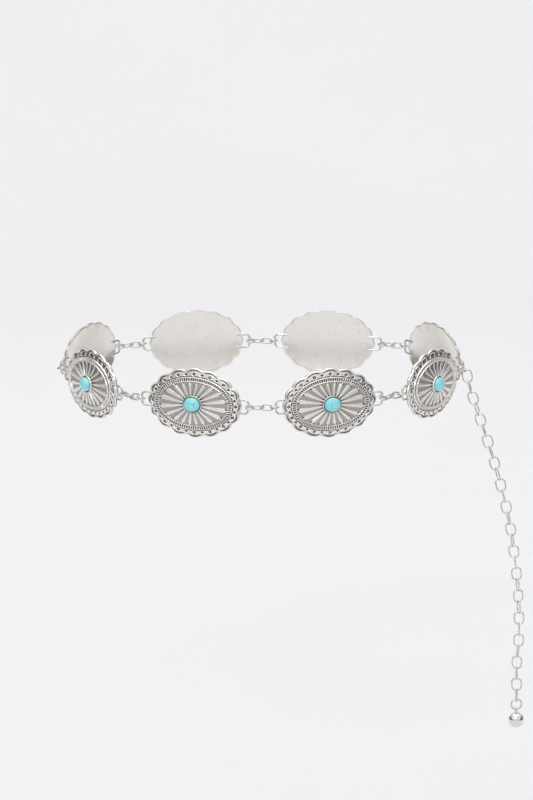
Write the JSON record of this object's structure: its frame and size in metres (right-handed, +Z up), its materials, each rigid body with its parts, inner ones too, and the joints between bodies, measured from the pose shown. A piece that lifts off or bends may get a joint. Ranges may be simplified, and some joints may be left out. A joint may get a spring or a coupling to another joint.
{
  "type": "chain belt",
  "caption": "Concho chain belt: scalloped oval metal plates with oval stones, joined by rings and links, closed by a hook in an extender chain that ends in a ball.",
  "frame": {"origin": "middle of the waist loop at the conchos' mid height, where the waist holds the belt", "axes": "+Z up; the front faces -Y; +X is the right of the picture, which carries the hook and the hanging chain"},
  "size_m": [0.2878, 0.1864, 0.2499],
  "materials": {
    "oxidised_silver": "cast silver-coloured alloy, darkened in its hollows and rubbed bright on its relief",
    "bright_silver": "polished silver-coloured plating",
    "turquoise": "polished turquoise with fine dark veins"
  },
  "bodies": {
    "root": {"concho_1": "oxidised_silver", "concho_2": "oxidised_silver", "concho_3": "oxidised_silver", "concho_4": "oxidised_silver", "concho_5": "oxidised_silver", "concho_6": "oxidised_silver", "concho_7": "oxidised_silver", "concho_8": "oxidised_silver", "stone_1": "turquoise", "stone_2": "turquoise", "stone_3": "turquoise", "stone_4": "turquoise", "stone_5": "turquoise", "stone_6": "turquoise", "stone_7": "turquoise", "stone_8": "turquoise", "ring_1a": "bright_silver", "link_1a": "bright_silver", "ring_1b": "bright_silver", "link_1b": "bright_silver", "ring_2a": "bright_silver", "link_2a": "bright_silver", "ring_2b": "bright_silver", "link_2b": "bright_silver", "ring_3a": "bright_silver", "link_3a": "bright_silver", "ring_3b": "bright_silver", "link_3b": "bright_silver", "ring_4a": "bright_silver", "link_4a": "bright_silver", "ring_4b": "bright_silver", "link_4b": "bright_silver", "ring_5a": "bright_silver", "link_5a": "bright_silver", "ring_5b": "bright_silver", "link_5b": "bright_silver", "ring_6a": "bright_silver", "link_6a": "bright_silver", "ring_6b": "bright_silver", "link_6b": "bright_silver", "ring_7a": "bright_silver", "link_7a": "bright_silver", "ring_7b": "bright_silver", "link_7b": "bright_silver", "clasp_ring": "bright_silver", "hook_clasp": "bright_silver", "extender_chain": "bright_silver", "end_ring": "bright_silver", "ball_drop": "bright_silver"}
  },
  "joints": []
}
